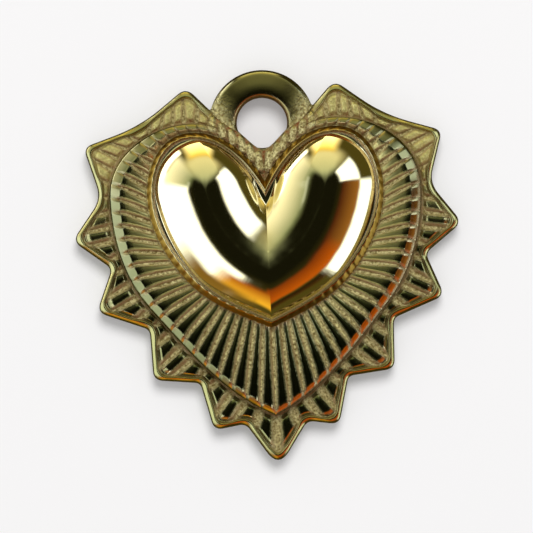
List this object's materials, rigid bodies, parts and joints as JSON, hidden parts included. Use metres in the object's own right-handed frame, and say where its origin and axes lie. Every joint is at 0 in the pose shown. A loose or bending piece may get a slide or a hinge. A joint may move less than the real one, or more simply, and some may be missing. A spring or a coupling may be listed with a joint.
{
  "type": "heart charm",
  "caption": "Flat-backed cast heart charm with a scalloped edge, a band of rays round a puffed heart, and an eyelet for a jump ring.",
  "frame": {"origin": "middle of the flat back, half way between the top of the eyelet and the lower point", "axes": "+Z out of the front, +Y towards the eyelet, +X to the right seen from the front, with x = 0 the mirror plane"},
  "size_m": [0.0284, 0.0289, 0.0041],
  "materials": {
    "cast_brass": "polished, with dark patina in the grooves"
  },
  "bodies": {
    "root": {"heart_charm": "cast_brass"}
  },
  "joints": []
}
